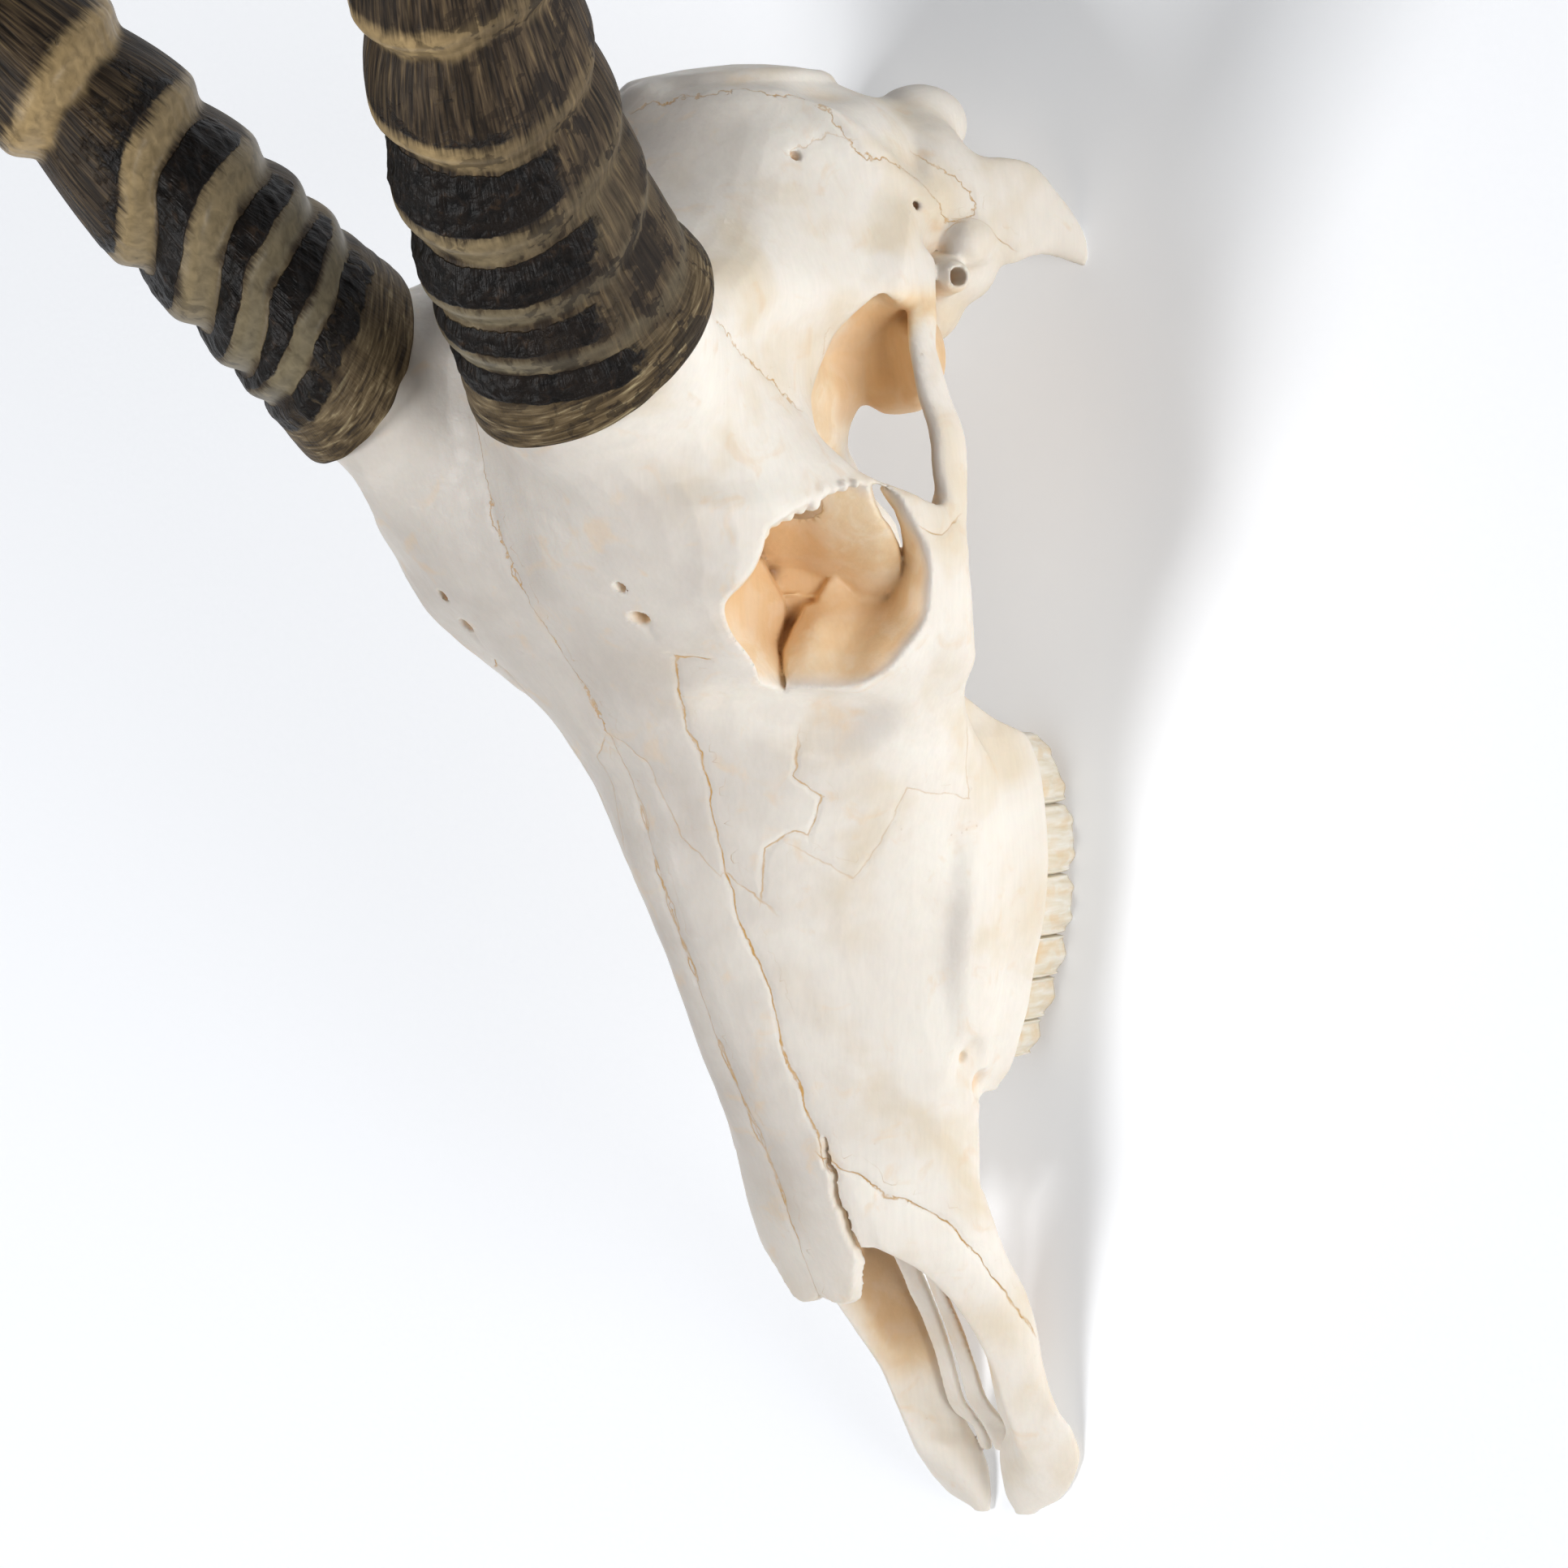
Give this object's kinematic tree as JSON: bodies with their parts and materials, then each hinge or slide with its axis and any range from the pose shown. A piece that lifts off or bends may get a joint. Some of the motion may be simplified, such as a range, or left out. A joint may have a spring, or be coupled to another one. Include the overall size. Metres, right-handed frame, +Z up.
{
  "type": "blesbok skull",
  "caption": "Antelope skull without a lower jaw: long pale cranium with round eye sockets, cheek teeth and two ringed horns that sweep up and back.",
  "frame": {"origin": "middle of the bounding box seen from above, on the surface that the skull rests on", "axes": "-Y towards the nose, +X towards the animal's left, +Z up; the plane X = 0 is the skull's plane of symmetry"},
  "size_m": [0.3006, 0.491, 0.383],
  "materials": {
    "bone": "matte",
    "keratin": "matte",
    "enamel": "satin"
  },
  "bodies": {
    "root": {"cranium": "bone", "horn_left": "keratin", "horn_right": "keratin", "premolar_2_left": "enamel", "premolar_3_left": "enamel", "premolar_4_left": "enamel", "molar_1_left": "enamel", "molar_2_left": "enamel", "molar_3_left": "enamel", "premolar_2_right": "enamel", "premolar_3_right": "enamel", "premolar_4_right": "enamel", "molar_1_right": "enamel", "molar_2_right": "enamel", "molar_3_right": "enamel"}
  },
  "joints": []
}
